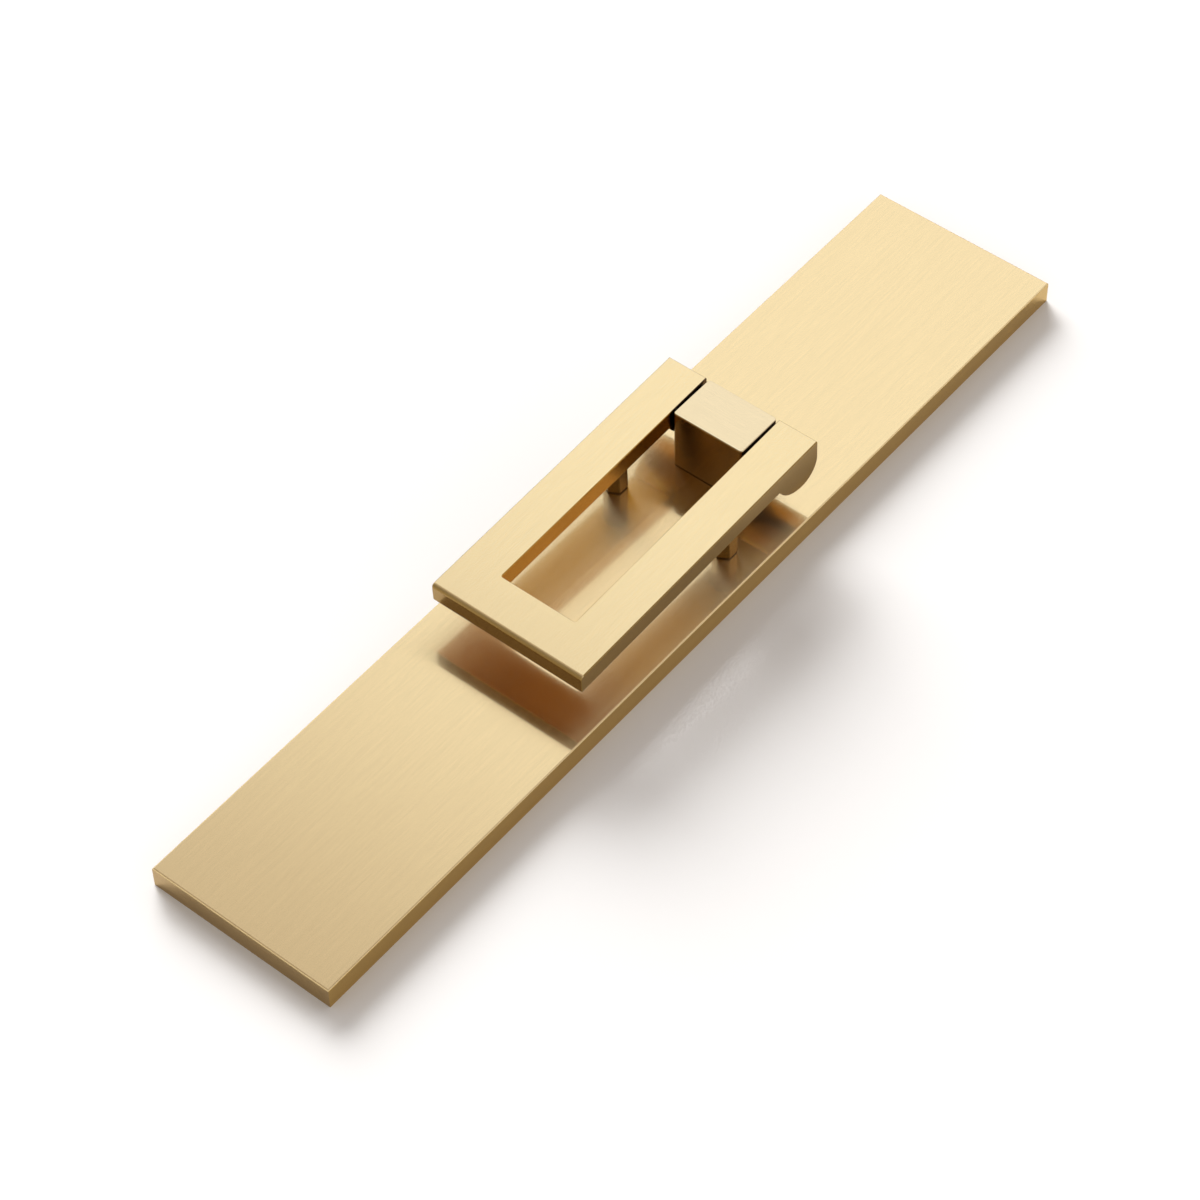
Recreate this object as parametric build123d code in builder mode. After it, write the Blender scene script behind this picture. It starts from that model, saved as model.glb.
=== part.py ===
from build123d import *
import os

# Folding pull handle: a long flat backplate, a block post and a pull ring hinged to it.
# The ring's two knuckles straddle the post on a hidden pin, and two hexagonal pegs under
# its legs rest on the plate, so that the ring lies with its free end a little lower.
# Origin: centre of the plate's rear face. +Z out of the plate, +Y towards the hinge.

# Backplate
plate_length = 260.0
plate_width = 50.0
plate_thickness = 6.0
plate_edge_radius = 0.4

# Tapped holes in the back of the plate, for screws through the door
fixing_hole_radius = 1.65
fixing_inset = 34.0
fixing_floor = 1.5

# Pull ring
ring_length = 84.4
ring_thickness = 5.1
leg_width = 10.8
front_bar_width = 11.2
ring_droop = 1.9
opening_corner_radius = 0.4
front_edge_radius = 1.0
ring_edge_radius = 0.3
ring_lower_edge_radius = 0.2

# Hinge: post, knuckles, pin and washers
hinge_end = 41.8
post_width = 19.7
post_depth = 13.4
post_corner_radius = 0.9
post_edge_radius = 0.3
post_foot_chamfer = 0.25
pivot_setback = 5.3
knuckle_reach = 8.5
knuckle_ground_clearance = 6.7
side_gap = 0.6
pin_radius = 2.0
pin_running_clearance = 0.05
pin_end_wall = 4.0
pin_end_chamfer = 0.3
washer_radius = 3.5
washer_play = 0.05

# Stop pegs
peg_across_flats = 5.0
peg_reach = 22.0
peg_foot_chamfer = 0.4
peg_stud_radius = 1.5
peg_stud_cover = 1.6

# Screws that hold the post, from the back of the plate
screw_radius = 2.0
screw_inset = 4.4
screw_head_recess = 0.15
screw_hole_clearance = 0.2
screw_tip_clearance = 1.0
screw_bore_wall = 2.8
screw_socket_across_flats = 2.5
screw_socket_depth = 1.4

# Places and sizes that follow from the values above
opening_width = post_width + 2 * side_gap
ring_width = opening_width + 2 * leg_width
ring_front = pivot_setback - ring_length
opening_front = ring_front + front_bar_width
pivot_y = hinge_end - pivot_setback
pivot_height = knuckle_ground_clearance + pivot_setback
pivot_z = plate_thickness + pivot_height
post_height = pivot_height + ring_thickness
peg_offset = (opening_width + leg_width) / 2
peg_stud_length = ring_thickness - peg_stud_cover
pin_length = ring_width - pin_end_wall
post_bore_radius = pin_radius + pin_running_clearance
screw_head_radius = 2 * screw_radius
screw_offset = post_width / 2 - screw_inset
screw_y = hinge_end - post_depth / 2
tapped_depth = pivot_height - post_bore_radius - screw_bore_wall
screw_tip = plate_thickness + tapped_depth - screw_tip_clearance

# The ring's plane is its underside: it holds the pin's axis and droops towards the free end
ring_plane = Plane(Location((0, pivot_y, pivot_z), (ring_droop, 0, 0)))
ring_up = Axis(ring_plane.origin, ring_plane.z_dir)
plate_front = Plane.XY.offset(plate_thickness)
plate_back = Plane(origin=(0, 0, 0), x_dir=(1, 0, 0), z_dir=(0, 0, -1))


def hinge_section(x):
    """The plane across the pin at x: its first axis runs to the ring's rear, its second upwards."""
    return Plane(origin=(x, pivot_y, pivot_z), x_dir=ring_plane.y_dir, z_dir=(1, 0, 0))


os.makedirs("parts", exist_ok=True)

# Backplate: flat bar with eased edges, countersunk for the post and tapped for the door
with BuildPart() as backplate:
    Box(plate_width, plate_length, plate_thickness, align=(Align.CENTER, Align.CENTER, Align.MIN))
    fillet(backplate.faces().sort_by(Axis.Z)[-1].edges(), plate_edge_radius)
    with Locations(plate_back):
        with Locations((-screw_offset, -screw_y), (screw_offset, -screw_y)):
            CounterSinkHole(
                radius=screw_radius + screw_hole_clearance,
                counter_sink_radius=screw_head_radius + screw_head_recess,
                depth=plate_thickness,
                counter_sink_angle=90,
            )
        with GridLocations(1, plate_length - 2 * fixing_inset, 1, 2):
            Hole(radius=fixing_hole_radius, depth=plate_thickness - fixing_floor)
backplate.part.label = "backplate"
export_step(backplate.part, "parts/backplate.step")

# Hinge post: block with rounded corners, bored for the pin and tapped from below
with BuildPart() as hinge_post:
    with BuildSketch(plate_front) as post_outline:
        with Locations((0, hinge_end)):
            Rectangle(post_width, post_depth, align=(Align.CENTER, Align.MAX))
        fillet(post_outline.vertices(), post_corner_radius)
    extrude(amount=post_height)
    fillet(hinge_post.faces().sort_by(Axis.Z)[-1].edges(), post_edge_radius)
    chamfer(hinge_post.faces().sort_by(Axis.Z)[0].edges(), post_foot_chamfer)
    with BuildSketch(hinge_section(0)):
        Circle(post_bore_radius)
    extrude(amount=post_width, both=True, mode=Mode.SUBTRACT)
    with BuildSketch(plate_front):
        with Locations((-screw_offset, screw_y), (screw_offset, screw_y)):
            Circle(screw_radius)
    extrude(amount=tapped_depth, mode=Mode.SUBTRACT)
hinge_post.part.label = "hinge_post"
export_step(hinge_post.part, "parts/hinge_post.step")

# Post screws: two countersunk socket screws, a little below the plate's back
with BuildPart() as post_screws:
    screw_section = Plane(origin=(screw_offset, screw_y, 0), x_dir=(1, 0, 0), z_dir=(0, -1, 0))
    with BuildSketch(screw_section):
        with BuildLine():
            Polyline(
                (0, screw_head_recess),
                (screw_head_radius, screw_head_recess),
                (screw_radius, screw_head_recess + screw_head_radius - screw_radius),
                (screw_radius, screw_tip),
                (0, screw_tip),
                close=True,
            )
        make_face()
    revolve(axis=Axis(screw_section.origin, screw_section.y_dir))
    with BuildSketch(Plane.XY.offset(screw_head_recess)):
        with Locations((screw_offset, screw_y)):
            RegularPolygon(screw_socket_across_flats / 2, 6, major_radius=False)
    extrude(amount=screw_socket_depth, mode=Mode.SUBTRACT)
    mirror(about=Plane.YZ)
post_screws.part.label = "post_screws"
export_step(post_screws.part, "parts/post_screws.step")

# Pull ring: flat bar ring, open at the rear, with a rounded knuckle under each leg's end
with BuildPart() as pull_ring:
    with BuildSketch(ring_plane) as ring_outline:
        with Locations((0, ring_front)):
            Rectangle(ring_width, ring_length, align=(Align.CENTER, Align.MIN))
        with Locations((0, opening_front)):
            Rectangle(opening_width, ring_length, align=(Align.CENTER, Align.MIN), mode=Mode.SUBTRACT)
        fillet(ring_outline.vertices().group_by(Axis.Y)[1], opening_corner_radius)
    extrude(amount=ring_thickness)
    front_edge = pull_ring.faces().sort_by(ring_up)[-1].edges().sort_by(Axis.Y)[0]
    fillet(front_edge, front_edge_radius)
    with BuildSketch(hinge_section(opening_width / 2)):
        with BuildLine():
            rear_arc = CenterArc((0, 0), pivot_setback, 0, -90)
            front_arc = TangentArc(rear_arc @ 1, (-knuckle_reach, 0), tangent=(-1, 0))
            Line(front_arc @ 1, rear_arc @ 0)
        make_face()
    extrude(amount=leg_width)
    mirror(about=Plane.YZ)
    top_edges = pull_ring.faces().sort_by(ring_up)[-1].edges().sort_by(Axis.Y)[1:]
    fillet(top_edges, ring_edge_radius)
    underside = pull_ring.faces().filter_by(ring_plane).sort_by(ring_up)[0]
    fillet(underside.edges().sort_by(Axis.Y)[:-2], ring_lower_edge_radius)
    with BuildSketch(hinge_section(-ring_width / 2)):
        Circle(pin_radius)
    extrude(amount=pin_length, mode=Mode.SUBTRACT)
    with BuildSketch(ring_plane):
        with Locations((-peg_offset, -peg_reach), (peg_offset, -peg_reach)):
            Circle(peg_stud_radius)
    extrude(amount=peg_stud_length, mode=Mode.SUBTRACT)
pull_ring.part.label = "pull_ring"
export_step(pull_ring.part, "parts/pull_ring.step")

# Hinge pin: pressed into both knuckles from the left, where it ends flush, and free in the post
with BuildPart() as hinge_pin:
    with BuildSketch(hinge_section(-ring_width / 2)):
        Circle(pin_radius)
    extrude(amount=pin_length)
    chamfer(hinge_pin.faces().sort_by(Axis.X)[-1].edges(), pin_end_chamfer)
hinge_pin.part.label = "hinge_pin"
export_step(hinge_pin.part, "parts/hinge_pin.step")

# On each side of the post: a thin washer on the pin, and a hexagonal peg screwed into the leg
for side, side_name in ((-1, "left"), (1, "right")):
    with BuildPart() as hinge_washer:
        with BuildSketch(hinge_section(side * (post_width + side_gap) / 2)):
            Circle(washer_radius)
            Circle(post_bore_radius, mode=Mode.SUBTRACT)
        extrude(amount=side_gap / 2 - washer_play, both=True)
    hinge_washer.part.label = f"{side_name}_hinge_washer"
    export_step(hinge_washer.part, f"parts/{side_name}_hinge_washer.step")

    with BuildPart() as stop_peg:
        with BuildSketch(ring_plane):
            with Locations((side * peg_offset, -peg_reach)):
                RegularPolygon(peg_across_flats / 2, 6, major_radius=False, rotation=30)
        extrude(amount=-2 * pivot_height)
        split(bisect_by=plate_front, keep=Keep.TOP)
        chamfer(stop_peg.faces().sort_by(Axis.Z)[0].edges(), peg_foot_chamfer)
        with BuildSketch(ring_plane):
            with Locations((side * peg_offset, -peg_reach)):
                Circle(peg_stud_radius)
        extrude(amount=peg_stud_length)
    stop_peg.part.label = f"{side_name}_stop_peg"
    export_step(stop_peg.part, f"parts/{side_name}_stop_peg.step")
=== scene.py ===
import bpy
import math
from mathutils import Matrix, Vector


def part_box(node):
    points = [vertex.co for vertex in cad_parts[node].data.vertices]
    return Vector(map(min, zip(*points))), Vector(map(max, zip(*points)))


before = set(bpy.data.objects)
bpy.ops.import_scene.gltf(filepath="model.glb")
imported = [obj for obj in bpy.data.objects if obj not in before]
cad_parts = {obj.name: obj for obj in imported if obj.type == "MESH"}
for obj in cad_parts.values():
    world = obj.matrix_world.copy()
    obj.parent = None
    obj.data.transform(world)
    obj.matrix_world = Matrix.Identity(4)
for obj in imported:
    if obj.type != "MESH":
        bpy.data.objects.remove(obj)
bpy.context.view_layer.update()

# Backplate
# A length of flat brass bar, cut square, its upper edges eased. Its face is finely brushed along
# its length and lacquered. Its sides and ends are the same brass painted darker and more amber, as
# painted shade. Screws from behind hold it to a door.
PLATE_FACE_BRASS = (0.94, 0.755, 0.44)
# Painted shade: the colours of the long sides and of the ends are the face's brass darkened
PLATE_SIDE_SHADE_BRASS = (0.57, 0.37, 0.105)
PLATE_END_SHADE_BRASS = (0.45, 0.30, 0.115)
EASED_BRASS = (0.88, 0.68, 0.36)

# Brushing: streaks in a metre across the grain and along it, the hairlines' depth in metres, the
# share of the metal that fine scratches cover, how the tone changes from streak to streak, and
# how far the grain is out of line
HAIRLINES = (4200.0, 70.0)
BROAD_STREAKS = (2600.0, 110.0)
STREAK_DETAIL = 2.0
HAIRLINE_DEPTH = 5.0e-7
SCRATCHED = 0.52
SCRATCHED_SWING = 0.075
DARK_STREAK = 0.979
PALE_STREAK = 1.017
GRAIN_ASKEW = 0.02

# A noise texture runs from 0 to 1, but mostly between these two values
NOISE_LOW = 0.3
NOISE_HIGH = 0.7

# How far a face's normal points along an axis: square to it, halfway, leaning or barely tilted
SQUARE = 0.9
HALFWAY = 0.5
LEANING = 0.3
TILTED = 0.1


def new_finish(name):
    """A new material: with it come its node tree, its shader and the place on the piece."""
    material = bpy.data.materials.new(name)
    material.use_nodes = True
    tree = material.node_tree
    place = tree.nodes.new("ShaderNodeTexCoord")
    return material, tree, tree.nodes["Principled BSDF"], place.outputs["Object"]


def feed(tree, value, socket):
    """Link another node's output to a socket, or set the socket to a constant."""
    if isinstance(value, bpy.types.NodeSocket):
        tree.links.new(value, socket)
    else:
        socket.default_value = value


def operate(tree, kind, operation, *values):
    """A Math or VectorMath node for one operation on the given values."""
    node = tree.nodes.new("ShaderNode" + kind)
    node.operation = operation
    for value, socket in zip(values, node.inputs):
        feed(tree, value, socket)
    return node


def noise(tree, place, scale, detail):
    """Soft noise, scale patches to the metre."""
    node = tree.nodes.new("ShaderNodeTexNoise")
    node.inputs["Scale"].default_value = scale
    node.inputs["Detail"].default_value = detail
    tree.links.new(place, node.inputs["Vector"])
    return node.outputs["Fac"]


def rescale(tree, value, low, high, new_low, new_high):
    """Stretch the range from low to high into the one from new_low to new_high."""
    node = tree.nodes.new("ShaderNodeMapRange")
    node.inputs["From Min"].default_value = low
    node.inputs["From Max"].default_value = high
    node.inputs["To Min"].default_value = new_low
    node.inputs["To Max"].default_value = new_high
    tree.links.new(value, node.inputs["Value"])
    return node.outputs["Result"]


def color_steps(tree, value, stops):
    """Colour by a value from 0 to 1. Each stop is a value and the colour there."""
    node = tree.nodes.new("ShaderNodeValToRGB")
    elements = node.color_ramp.elements
    while len(elements) < len(stops):
        elements.new(0.5)
    for element, (position, color) in zip(elements, stops):
        element.position = position
        element.color = (*color, 1.0)
    tree.links.new(value, node.inputs["Fac"])
    return node.outputs["Color"]


def relief(tree, shader, height, strength, depth):
    """Let a pattern raise the surface, by depth metres where its height is 1."""
    node = tree.nodes.new("ShaderNodeBump")
    node.inputs["Strength"].default_value = strength
    node.inputs["Distance"].default_value = depth
    tree.links.new(height, node.inputs["Height"])
    tree.links.new(node.outputs["Normal"], shader.inputs["Normal"])


def satin_brass(name, color, grain, polish, brushing, spread=0.5,
                slant=0.0, scratched=SCRATCHED, groove=HAIRLINE_DEPTH):
    """Lacquered brass, brushed along the axis named by grain.

    polish is the roughness of the smooth metal, brushing that of the scratches in it, scratched
    the share that they cover, and groove the depth of the hairlines. spread says how much more
    light spreads across the grain than along it, with the grain turned about Z by slant degrees.
    """
    material, tree, shader, place = new_finish(name)
    shader.inputs["Metallic"].default_value = 1.0
    shader.inputs["Anisotropic"].default_value = spread
    axis = "XYZ".index(grain)

    def streaks(across, along):
        scale = [across] * 3
        scale[axis] = along
        stretch = tree.nodes.new("ShaderNodeMapping")
        stretch.inputs["Scale"].default_value = scale
        tree.links.new(place, stretch.inputs["Vector"])
        return noise(tree, stretch.outputs["Vector"], scale=1.0, detail=STREAK_DETAIL)

    # Scratches too fine to see roughen a good half of the metal, and more of it in the hairlines
    hairlines = streaks(*HAIRLINES)
    scratched_low = scratched - SCRATCHED_SWING
    scratched_high = scratched + SCRATCHED_SWING
    share = rescale(tree, hairlines, NOISE_LOW, NOISE_HIGH, scratched_low, scratched_high)
    specks = tree.nodes.new("ShaderNodeTexWhiteNoise")
    tree.links.new(place, specks.inputs["Vector"])
    scratch = operate(tree, "Math", "LESS_THAN", specks.outputs["Value"], share)
    dullness = rescale(tree, scratch.outputs["Value"], 0.0, 1.0, polish, brushing)
    tree.links.new(dullness, shader.inputs["Roughness"])
    relief(tree, shader, hairlines, strength=1.0, depth=groove)

    # Broader streaks, where the brushing went deeper, show faintly in the colour
    dark = [channel * DARK_STREAK for channel in color]
    pale = [channel * PALE_STREAK for channel in color]
    tone = color_steps(tree, streaks(*BROAD_STREAKS), ((NOISE_LOW, dark), (NOISE_HIGH, pale)))
    tree.links.new(tone, shader.inputs["Base Color"])

    # The grain is a little askew, so that light has a way to spread on a face square to it too
    askew = Vector((GRAIN_ASKEW, GRAIN_ASKEW, GRAIN_ASKEW))
    askew[axis] = 1.0
    grain_way = tree.nodes.new("ShaderNodeVectorTransform")
    grain_way.vector_type = "VECTOR"
    grain_way.convert_from = "OBJECT"
    grain_way.convert_to = "WORLD"
    grain_way.inputs["Vector"].default_value = Matrix.Rotation(math.radians(slant), 3, "Z") @ askew
    surface = tree.nodes.new("ShaderNodeNewGeometry")
    spread_way = operate(
        tree, "VectorMath", "CROSS_PRODUCT", surface.outputs["Normal"], grain_way.outputs["Vector"])
    tree.links.new(spread_way.outputs["Vector"], shader.inputs["Tangent"])
    return material


def finish_faces(node_name, choose):
    """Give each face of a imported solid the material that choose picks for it."""
    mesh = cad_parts[node_name].data
    chosen = [choose(face) for face in mesh.polygons]
    mesh.materials.clear()
    for material in dict.fromkeys(chosen):
        mesh.materials.append(material)
    for face, material in zip(mesh.polygons, chosen):
        face.material_index = mesh.materials.find(material.name)


plate_face = satin_brass(
    "plate_face_brass", PLATE_FACE_BRASS, "Y", polish=0.07, brushing=0.26, spread=1.0,
    slant=12.0, scratched=0.66)
# Painted shade on the long sides and on the ends
plate_side = satin_brass("plate_side_shade_brass", PLATE_SIDE_SHADE_BRASS, "Y", polish=0.16, brushing=0.28)
plate_end = satin_brass("plate_end_shade_brass", PLATE_END_SHADE_BRASS, "X", polish=0.16, brushing=0.28)
plate_eased_edge = satin_brass(
    "plate_eased_brass", EASED_BRASS, "X", polish=0.42, brushing=0.50, spread=0.0)


def plate_finish(face):
    """The ends, then the eased edges above them, the long sides, and the face and back."""
    way = face.normal
    if abs(way.y) > SQUARE and way.z < LEANING:
        return plate_end
    if abs(way.y) > TILTED and way.z > TILTED:
        return plate_eased_edge
    return plate_side if abs(way.z) < HALFWAY else plate_face


finish_faces("backplate", plate_finish)

# Hinge post
# A small brass block with rounded corners, milled and then satin finished on its own, which
# leaves its top a shade paler than the plate. Its front is painted brown and its back and corners
# darker, as painted shade. Its foot and its sides in the narrow gaps beside the knuckles are
# painted near black, as painted shadow. Two screws from behind hold it.
POST_TOP_BRASS = (0.90, 0.75, 0.49)
# Painted shade: the front's brown
POST_FRONT_SHADE_BRASS = (0.32, 0.20, 0.075)
# Painted shadow: near black for the post's foot and its sides in the gaps, for the pegs' foot
# chamfers and for the ring's inner sides beside the post
GAP_SHADOW_BROWN = (0.10, 0.06, 0.03)
post_top = satin_brass("post_top_brass", POST_TOP_BRASS, "X", polish=0.10, brushing=0.26, spread=0.7)
# Painted shade: the back and the rounded corners take the plate sides' darkened brass
post_back = satin_brass("post_side_shade_brass", PLATE_SIDE_SHADE_BRASS, "X", polish=0.10, brushing=0.18)
post_gap_shadow = satin_brass(
    "post_gap_shadow_brass", GAP_SHADOW_BROWN, "X", polish=0.55, brushing=0.65, spread=0.0)
post_front = satin_brass("post_front_shade_brass", POST_FRONT_SHADE_BRASS, "X", polish=0.10, brushing=0.18)


def post_finish(face):
    """The foot and the two sides in the gaps, then the front, the back and the top."""
    way = face.normal
    # Painted shadow on the foot and on the sides in the gaps
    if way.z < -LEANING or abs(way.x) > SQUARE:
        return post_gap_shadow
    if way.y < -HALFWAY:
        return post_front
    return post_back if abs(way.z) < HALFWAY else post_top


finish_faces("hinge_post", post_finish)

# Post screws
# Two countersunk socket screws of zinc plated steel, sunk just below the plate's back. The
# plating is clouded, with a faint blue and straw tint.
STEEL_BLUE = (0.57, 0.59, 0.64)
STEEL_STRAW = (0.67, 0.65, 0.60)
CLOUDS_PER_METRE = 900.0
CLOUD_DETAIL = 4.0
BLUE_BELOW = 0.35
STRAW_ABOVE = 0.65
STEEL_BRIGHT = 0.24
STEEL_DULL = 0.40


def zinc_plated_steel(name):
    """Steel whose plating is clouded in tint and shine."""
    material, tree, shader, place = new_finish(name)
    shader.inputs["Metallic"].default_value = 1.0
    clouds = noise(tree, place, CLOUDS_PER_METRE, CLOUD_DETAIL)
    tint = color_steps(tree, clouds, ((BLUE_BELOW, STEEL_BLUE), (STRAW_ABOVE, STEEL_STRAW)))
    tree.links.new(tint, shader.inputs["Base Color"])
    dullness = rescale(tree, clouds, NOISE_LOW, NOISE_HIGH, STEEL_BRIGHT, STEEL_DULL)
    tree.links.new(dullness, shader.inputs["Roughness"])
    return material


screw_steel = zinc_plated_steel("screw_steel")
finish_faces("post_screws", lambda face: screw_steel)

# Pull ring
# A flat brass ring, open at the rear, cut and milled from thick plate, with a knuckle under each
# leg's end. Its top is brushed like the plate's face. Its outer and inner sides, its underside and
# its knuckles are the same brass painted darker amber and brown, as painted shade, browner still
# under the front bar. Handling has softened its front edge, whose lower part and front face are
# painted brown, as painted shade.
RING_TOP_BRASS = (0.965, 0.785, 0.46)
# Painted shade: the outer sides' darker amber
RING_SIDE_SHADE_BRASS = (0.34, 0.21, 0.055)
# Painted shade: the inner sides' amber
INNER_SHADE_BRASS = (0.66, 0.38, 0.08)
# Painted shade: the underside's darker brass
UNDERSIDE_SHADE_BRASS = (0.54, 0.335, 0.06)
# Painted shade: the knuckles' undersides
KNUCKLE_SHADE_BRASS = (0.36, 0.20, 0.04)
# Painted shade: the brown that the underside goes into under the front bar
BAR_SHADE_BROWN = (0.36, 0.17, 0.045)
# Painted shade: the front face's brown, which the rounded front edge also goes into
FRONT_SHADE_BROWN = (0.37, 0.235, 0.075)

# In metres: where the painted shade under the front bar starts along Y and where it is full, how
# far the front edge and the painted shade's change of tone on its rounding lie behind the ring's
# front, the joint's reach round the post, and the depth of the hairlines underneath
BAR_SHADE_FROM = -0.014
BAR_SHADE_TO = -0.036
FRONT_EDGE_DEPTH = 0.002
EDGE_SHADE_FROM = 0.0009
EDGE_SHADE_TO = 0.0002
JOINT_MARGIN = 0.001
UNDERSIDE_GROOVE = 3.0e-7

# How far a face's normal points up, at least, on the flat top, and how far up and forwards on
# the rounded front edge
TOP_UP = 0.94
ROUNDED_UP = 0.15
ROUNDED_FORWARDS = 0.06
ring_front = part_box("pull_ring")[0][1]
post_low, post_high = (Vector(corner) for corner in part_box("hinge_post"))


def smooth_step(tree, value, low, high):
    """0 at low and 1 at high, with a soft change between."""
    node = tree.nodes.new("ShaderNodeMapRange")
    node.interpolation_type = "SMOOTHSTEP"
    node.inputs["From Min"].default_value = low
    node.inputs["From Max"].default_value = high
    tree.links.new(value, node.inputs["Value"])
    return node.outputs["Result"]


def mix_colors(tree, share, first, second):
    """The first colour where share is 0, the second where it is 1."""
    node = tree.nodes.new("ShaderNodeMix")
    node.data_type = "RGBA"
    feed(tree, share, node.inputs["Factor"])
    feed(tree, first, node.inputs["A"])
    feed(tree, second, node.inputs["B"])
    return node.outputs["Result"]


def tone_along_y(material, y_from, y_to, color):
    """Let a brass's tone go over into another colour between two places along the ring."""
    tree = material.node_tree
    base_color = tree.nodes["Principled BSDF"].inputs["Base Color"]
    own_color = base_color.links[0].from_socket
    place = tree.nodes.new("ShaderNodeTexCoord")
    axes = tree.nodes.new("ShaderNodeSeparateXYZ")
    tree.links.new(place.outputs["Object"], axes.inputs["Vector"])
    share = smooth_step(tree, axes.outputs["Y"], y_from, y_to)
    tree.links.new(mix_colors(tree, share, own_color, (*color, 1.0)), base_color)


ring_face = satin_brass(
    "ring_face_brass", RING_TOP_BRASS, "Y", polish=0.07, brushing=0.28, spread=1.0)
# Painted shade on the outer sides
ring_side = satin_brass("ring_side_shade_brass", RING_SIDE_SHADE_BRASS, "Y", polish=0.12, brushing=0.24)
# Painted shade on the underside, browner under the front bar
ring_underside = satin_brass(
    "ring_underside_shade_brass", UNDERSIDE_SHADE_BRASS, "X", polish=0.38, brushing=0.50, spread=0.0,
    groove=UNDERSIDE_GROOVE)
tone_along_y(ring_underside, BAR_SHADE_FROM, BAR_SHADE_TO, BAR_SHADE_BROWN)
ring_eased_edge = satin_brass(
    "ring_eased_brass", EASED_BRASS, "X", polish=0.42, brushing=0.50, spread=0.0)
# Painted shade: the rounded front edge goes brown towards the front face
tone_along_y(ring_eased_edge, ring_front + EDGE_SHADE_FROM, ring_front + EDGE_SHADE_TO, FRONT_SHADE_BROWN)
# Painted shade on the front face
ring_front_face_shade = satin_brass("ring_front_face_shade_brass", FRONT_SHADE_BROWN, "X", polish=0.12, brushing=0.26)
# Painted shade on the inner sides
ring_inside = satin_brass("ring_inside_shade_brass", INNER_SHADE_BRASS, "Y", polish=0.12, brushing=0.24)
# Painted shadow: the inner sides go near black beside the post
tone_along_y(ring_inside, post_low.y - JOINT_MARGIN, post_low.y + JOINT_MARGIN, GAP_SHADOW_BROWN)
# Painted shade on the knuckles' undersides
ring_knuckle = satin_brass("ring_knuckle_shade_brass", KNUCKLE_SHADE_BRASS, "X", polish=0.12, brushing=0.26)


def ring_finish(face):
    """The knuckles and underside, then the front edge, the inner and outer sides, and the top."""
    way = face.normal
    place = face.center
    at_front = place.y < ring_front + FRONT_EDGE_DEPTH
    if way.z < -LEANING:
        return ring_knuckle if place.y > post_low.y - JOINT_MARGIN else ring_underside
    if at_front and way.z > ROUNDED_UP and way.y < -ROUNDED_FORWARDS:
        return ring_eased_edge
    if at_front and way.y < -HALFWAY:
        return ring_front_face_shade
    if way.z < TOP_UP:
        return ring_inside if abs(place.x) < post_high.x + JOINT_MARGIN else ring_side
    return ring_face


finish_faces("pull_ring", ring_finish)

# Hinge pin
# A plain brass pin, turned and faced in a lathe, which leaves fine rings on its end. It is pressed
# in from the left, where it ends flush, through the post and into the right knuckle.
PIN_DARK = (0.56, 0.39, 0.16)
PIN_PALE = (0.64, 0.46, 0.20)
PIN_BRIGHT = 0.16
PIN_DULL = 0.30
TURNING_PITCH = 0.00012
TURNING_DEPTH = 2.0e-6
TURNING_STRENGTH = 0.6
pin_low, pin_high = (Vector(corner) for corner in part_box("hinge_pin"))


def turned_brass(name, axis_place):
    """Brass with the rings that a lathe leaves round an axis along X."""
    material, tree, shader, place = new_finish(name)
    shader.inputs["Metallic"].default_value = 1.0
    from_axis = operate(tree, "VectorMath", "SUBTRACT", place, axis_place)
    across = operate(tree, "VectorMath", "MULTIPLY", from_axis.outputs["Vector"], (0.0, 1.0, 1.0))
    reach = operate(tree, "VectorMath", "LENGTH", across.outputs["Vector"])
    turns = operate(tree, "Math", "MULTIPLY", reach.outputs["Value"], math.tau / TURNING_PITCH)
    rings = operate(tree, "Math", "SINE", turns.outputs["Value"]).outputs["Value"]
    tint = color_steps(tree, rings, ((0.0, PIN_DARK), (1.0, PIN_PALE)))
    tree.links.new(tint, shader.inputs["Base Color"])
    dullness = rescale(tree, rings, -1.0, 1.0, PIN_BRIGHT, PIN_DULL)
    tree.links.new(dullness, shader.inputs["Roughness"])
    relief(tree, shader, rings, TURNING_STRENGTH, TURNING_DEPTH)
    return material


pin_brass = turned_brass("turned_brass", (pin_low + pin_high) / 2.0)
finish_faces("hinge_pin", lambda face: pin_brass)

# Hinge washers
# Thin black nylon washers on the pin that keep the knuckles off the post. Stamped from sheet,
# they have a fine matt skin.
NYLON_DARK = (0.080, 0.072, 0.064)
NYLON_PALE = (0.115, 0.105, 0.094)
NYLON_BRIGHT = 0.42
NYLON_DULL = 0.66
PORES_PER_METRE = 6000.0
PORE_DETAIL = 3.0
PORE_DEPTH = 8.0e-6
PORE_STRENGTH = 0.5


def matt_nylon(name):
    """Nylon with a finely pored skin."""
    material, tree, shader, place = new_finish(name)
    skin = noise(tree, place, PORES_PER_METRE, PORE_DETAIL)
    tint = color_steps(tree, skin, ((NOISE_LOW, NYLON_DARK), (NOISE_HIGH, NYLON_PALE)))
    tree.links.new(tint, shader.inputs["Base Color"])
    dullness = rescale(tree, skin, 0.0, 1.0, NYLON_BRIGHT, NYLON_DULL)
    tree.links.new(dullness, shader.inputs["Roughness"])
    relief(tree, shader, skin, PORE_STRENGTH, PORE_DEPTH)
    return material


washer_nylon = matt_nylon("washer_nylon")
for washer in ("left_hinge_washer", "right_hinge_washer"):
    finish_faces(washer, lambda face: washer_nylon)

# Stop pegs
# Hexagonal brass pegs cut from drawn bar and chamfered at the foot. They are painted dark brown,
# as painted shade under the ring, and their foot chamfer near black, as painted shadow.
# They are screwed up into the legs and stand on the plate.
PEG_SHADE_BRASS = (0.32, 0.20, 0.065)
FOOT_DOWN = 0.95
peg_shade_brass = satin_brass("peg_shade_brass", PEG_SHADE_BRASS, "Z", polish=0.12, brushing=0.24)


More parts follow.
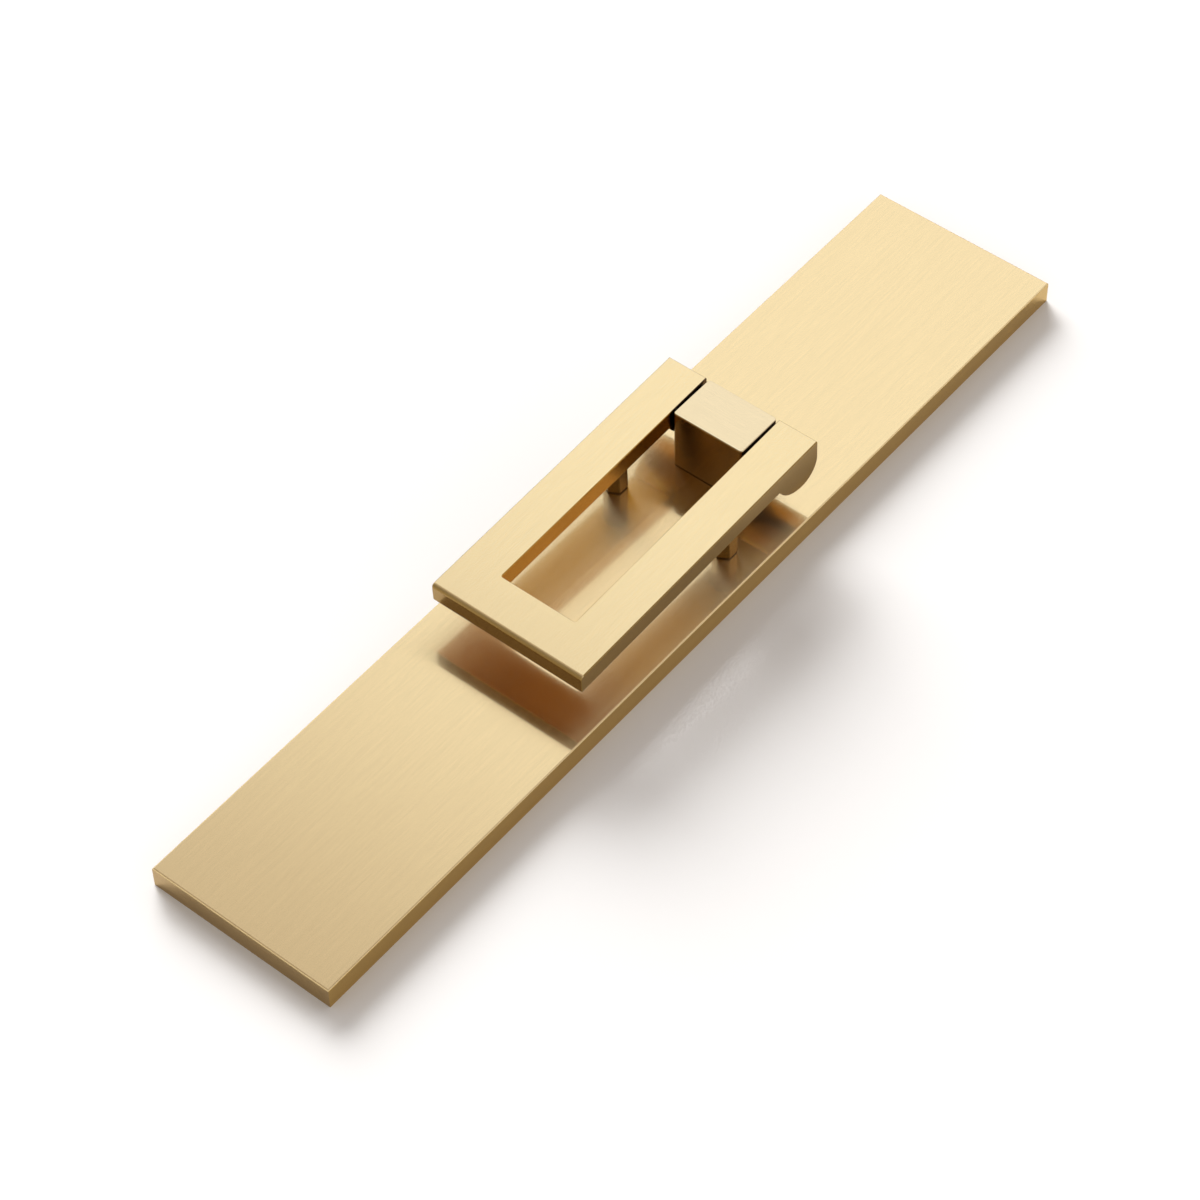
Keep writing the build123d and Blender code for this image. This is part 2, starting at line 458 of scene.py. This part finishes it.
def peg_finish(face):
    """The chamfer round the foot, then the rest."""
    # Painted shadow on the foot chamfer, painted shade on the rest
    return post_gap_shadow if -FOOT_DOWN < face.normal.z < -LEANING else peg_shade_brass


for peg in ("left_stop_peg", "right_stop_peg"):
    finish_faces(peg, peg_finish)

# Floor
# A plain pale sheet, painted matt, that the plate lies on. It runs far past the photograph's view
# on all sides, and isn't part of the object.
FLOOR_SIZE = 8.0
FLOOR_PAINT = (0.95, 0.95, 0.95)
FLOOR_DULLNESS = 0.9
bpy.ops.object.select_all(action="DESELECT")
bpy.ops.mesh.primitive_plane_add(size=FLOOR_SIZE, location=(0, 0, 0))
floor = bpy.context.object
floor.name = "floor"
floor_paint = bpy.data.materials.new("floor_paint")
floor_paint.use_nodes = True
floor_shader = floor_paint.node_tree.nodes["Principled BSDF"]
floor_shader.inputs["Base Color"].default_value = (*FLOOR_PAINT, 1.0)
floor_shader.inputs["Roughness"].default_value = FLOOR_DULLNESS
floor_shader.inputs["Specular IOR Level"].default_value = 0.0
floor.data.materials.append(floor_paint)

# Studio light
# A bright horizon all round, a band of dim warm walls above it, which are paler towards a window
# at the back left, and a soft ceiling. The metal mirrors all of this.
TO_WINDOW = (-0.646, 0.763, 0.0)
TO_RIGHT = (0.763, 0.646, 0.0)
UPWARDS = (0.0, 0.0, 1.0)
WARM_GREEN_LOSS = 0.34
WARM_BLUE_LOSS = 0.60

# How far a direction points to the right where the walls start to brighten, where they have done
# so, and by how much
RIGHT_WALL_FROM = 0.15
RIGHT_WALL_TO = 0.63
RIGHT_WALL_GAIN = 2.6

# How far a direction points upwards where the horizon goes over into the walls, and where these
# go over into the ceiling
WALLS_FROM = 0.62
WALLS_TO = 0.73
CEILING_FROM = 0.84
CEILING_TO = 0.90
world = bpy.data.worlds.new("studio")
bpy.context.scene.world = world
world.use_nodes = True
sky = world.node_tree
sky_way = sky.nodes.new("ShaderNodeTexCoord").outputs["Generated"]


def along(direction):
    """How far a view direction points along the given one, from -1 to 1."""
    return operate(sky, "VectorMath", "DOT_PRODUCT", sky_way, direction).outputs["Value"]


def gray(level, warmth=0.0):
    """A neutral or warm light of the given level."""
    return (level, level * (1.0 - WARM_GREEN_LOSS * warmth), level * (1.0 - WARM_BLUE_LOSS * warmth))


def light_towards(value, stops):
    """Light by a value from -1 to 1. Each stop is a value and the light there."""
    share = rescale(sky, value, -1.0, 1.0, 0.0, 1.0)
    return color_steps(sky, share, [((place + 1.0) / 2.0, light) for place, light in stops])


to_window = along(TO_WINDOW)
height = along(UPWARDS)
horizon = light_towards(to_window, (
    (-1.0, gray(0.78)),
    (-0.7, gray(0.74)),
    (-0.4, gray(0.62, 0.1)),
    (0.0, gray(0.66, 0.1)),
    (0.5, gray(0.74)),
    (1.0, gray(0.70)),
))
walls = light_towards(to_window, (
    (-1.0, gray(0.25, 0.3)),
    (-0.64, gray(0.16, 0.5)),
    (-0.30, gray(0.18, 0.75)),
    (-0.10, gray(0.17, 0.75)),
    (0.10, gray(0.20, 0.75)),
    (0.35, gray(0.35, 0.4)),
    (0.55, gray(0.60, 0.35)),
    (0.70, gray(0.65, 0.2)),
    (1.0, gray(0.65, 0.1)),
))
ceiling = light_towards(to_window, (
    (-1.0, gray(0.36, 0.2)),
    (0.0, gray(0.36, 0.4)),
    (0.5, gray(0.38, 0.4)),
    (1.0, gray(0.48, 0.2)),
))
right_gain = rescale(sky, along(TO_RIGHT), RIGHT_WALL_FROM, RIGHT_WALL_TO, 1.0, RIGHT_WALL_GAIN)
brighter_walls = operate(sky, "VectorMath", "SCALE", walls)
sky.links.new(right_gain, brighter_walls.inputs["Scale"])
lower_sky = mix_colors(
    sky, smooth_step(sky, height, WALLS_FROM, WALLS_TO), horizon, brighter_walls.outputs["Vector"])
whole_sky = mix_colors(sky, smooth_step(sky, height, CEILING_FROM, CEILING_TO), lower_sky, ceiling)
sky.links.new(whole_sky, sky.nodes["Background"].inputs["Color"])

# The window's own light comes from a soft panel over the object's back left, whose front and
# right edges fade out. Only the metal sees it. Each stop of a fade is a place in metres and the
# share of the light there.
PANEL_HEIGHT = 0.30
PANEL_LOW = Vector((-0.90, -0.10, PANEL_HEIGHT))
PANEL_HIGH = Vector((0.12, 0.65, PANEL_HEIGHT))
PANEL_STRENGTH = 1.03
FRONT_FADE = ((-0.10, 0.0), (-0.03, 0.10), (0.03, 0.28), (0.12, 0.84), (0.17, 1.0))
FRONT_FADE_RANGE = (-0.10, 0.20)
RIGHT_FADE = ((0.02, 1.0), (0.10, 0.0))
RIGHT_FADE_RANGE = (-0.10, 0.12)
bpy.ops.object.select_all(action="DESELECT")
bpy.ops.mesh.primitive_plane_add(size=1.0, location=(PANEL_LOW + PANEL_HIGH) / 2.0)
panel = bpy.context.object
panel.name = "light_panel"
panel.scale = (PANEL_HIGH.x - PANEL_LOW.x, PANEL_HIGH.y - PANEL_LOW.y, 1.0)
bpy.ops.object.transform_apply(location=True, rotation=True, scale=True)
panel_light, panel_tree, panel_shader, panel_place = new_finish("panel_light")
panel_tree.nodes.remove(panel_shader)
panel_axes = panel_tree.nodes.new("ShaderNodeSeparateXYZ")
panel_tree.links.new(panel_place, panel_axes.inputs["Vector"])


def panel_fade(axis, span, stops):
    """Share of the panel's light by the place along one axis."""
    low, high = span
    share = rescale(panel_tree, panel_axes.outputs[axis], low, high, 0.0, 1.0)
    levels = [((place - low) / (high - low), (level, level, level)) for place, level in stops]
    return color_steps(panel_tree, share, levels)


front_share = panel_fade("Y", FRONT_FADE_RANGE, FRONT_FADE)
right_share = panel_fade("X", RIGHT_FADE_RANGE, RIGHT_FADE)
panel_share = operate(panel_tree, "Math", "MULTIPLY", front_share, right_share)
panel_glow = panel_tree.nodes.new("ShaderNodeEmission")
panel_glow.inputs["Strength"].default_value = PANEL_STRENGTH
panel_clear = panel_tree.nodes.new("ShaderNodeBsdfTransparent")
panel_blend = panel_tree.nodes.new("ShaderNodeMixShader")
panel_tree.links.new(panel_share.outputs["Value"], panel_blend.inputs["Fac"])
panel_tree.links.new(panel_clear.outputs["BSDF"], panel_blend.inputs[1])
panel_tree.links.new(panel_glow.outputs["Emission"], panel_blend.inputs[2])
panel_output = panel_tree.nodes["Material Output"]
panel_tree.links.new(panel_blend.outputs["Shader"], panel_output.inputs["Surface"])
panel.data.materials.append(panel_light)
panel.visible_camera = False
panel.visible_diffuse = False
panel.visible_shadow = False

# Two lamps, at the left and at the back left, bring the floor to its own colour and cast the
# shadow. They are kept out of the metal's reflections.
LAMP_POWER = 2.3
LAMP_SPREAD = math.radians(30.0)
for name, direction in (
    ("left_lamp", (-0.84, 0.34, 0.42)),
    ("back_lamp", (-0.70, 0.58, 0.42)),
):
    lamp = bpy.data.lights.new(name, "SUN")
    lamp.energy = LAMP_POWER
    lamp.angle = LAMP_SPREAD
    holder = bpy.data.objects.new(name, lamp)
    bpy.context.scene.collection.objects.link(holder)
    holder.rotation_euler = Vector(direction).to_track_quat("Z", "Y").to_euler()
    holder.visible_glossy = False

# Camera
# The photograph's view, from the right, in front and above, through a long lens and for a square
# frame. The camera is rolled a little and looks at a point on the plate's face.
VIEW_AZIMUTH = math.radians(40.05)
VIEW_ELEVATION = math.radians(50.24)
VIEW_ROLL = math.radians(-1.30)
VIEW_TARGET_X = 0.00286
VIEW_TARGET_Y = -0.01392
VIEW_DISTANCE = 0.82136
LENS_MM = 110.12
SENSOR_MM = 36.0
view_target = Vector((VIEW_TARGET_X, VIEW_TARGET_Y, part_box("backplate")[1][2]))
back = Vector((
    math.sin(VIEW_AZIMUTH) * math.cos(VIEW_ELEVATION),
    -math.cos(VIEW_AZIMUTH) * math.cos(VIEW_ELEVATION),
    math.sin(VIEW_ELEVATION),
))
right = Vector((math.cos(VIEW_AZIMUTH), math.sin(VIEW_AZIMUTH), 0.0))
up = back.cross(right)
turned_right = right * math.cos(VIEW_ROLL) + up * math.sin(VIEW_ROLL)
turned_up = up * math.cos(VIEW_ROLL) - right * math.sin(VIEW_ROLL)
camera_data = bpy.data.cameras.new("camera")
camera_data.lens = LENS_MM
camera_data.sensor_width = SENSOR_MM
camera = bpy.data.objects.new("camera", camera_data)
bpy.context.scene.collection.objects.link(camera)
camera_place = Matrix((turned_right, turned_up, back)).transposed().to_4x4()
camera_place.translation = view_target + back * VIEW_DISTANCE
camera.matrix_world = camera_place
bpy.context.scene.camera = camera
bpy.context.scene.view_settings.view_transform = "Standard"
